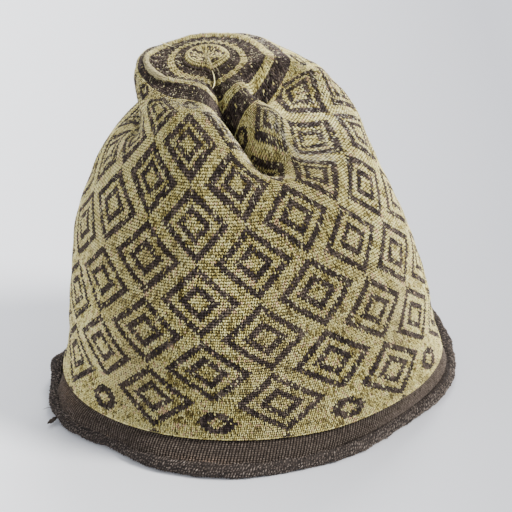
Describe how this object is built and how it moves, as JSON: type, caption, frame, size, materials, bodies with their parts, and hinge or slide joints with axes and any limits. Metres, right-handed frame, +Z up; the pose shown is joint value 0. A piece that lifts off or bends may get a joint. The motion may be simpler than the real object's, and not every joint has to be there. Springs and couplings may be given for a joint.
{
  "type": "knitted silk cap",
  "caption": "Knitted silk cap with a tapering diamond-patterned crown gathered at the top and sunk in a pleat, a plain dark band and a thick rolled edge; hollow, open below.",
  "frame": {"origin": "on the surface the cap stands on, under the middle of its outline", "axes": "+Z up from the rim to the gathered centre, -Y to the front, where the deep pleat opens, +X to the right as seen from the front"},
  "size_m": [0.1876, 0.1866, 0.1646],
  "materials": {
    "crown_knit": "patterned knitted silk, pale yellow and dark brown, soft sheen",
    "band_knit": "fine dark brown knit, matt",
    "edge_knit": "coarse dark brown knit, matt"
  },
  "bodies": {
    "root": {"crown": "crown_knit", "band": "band_knit", "rolled_edge": "edge_knit"}
  },
  "joints": []
}
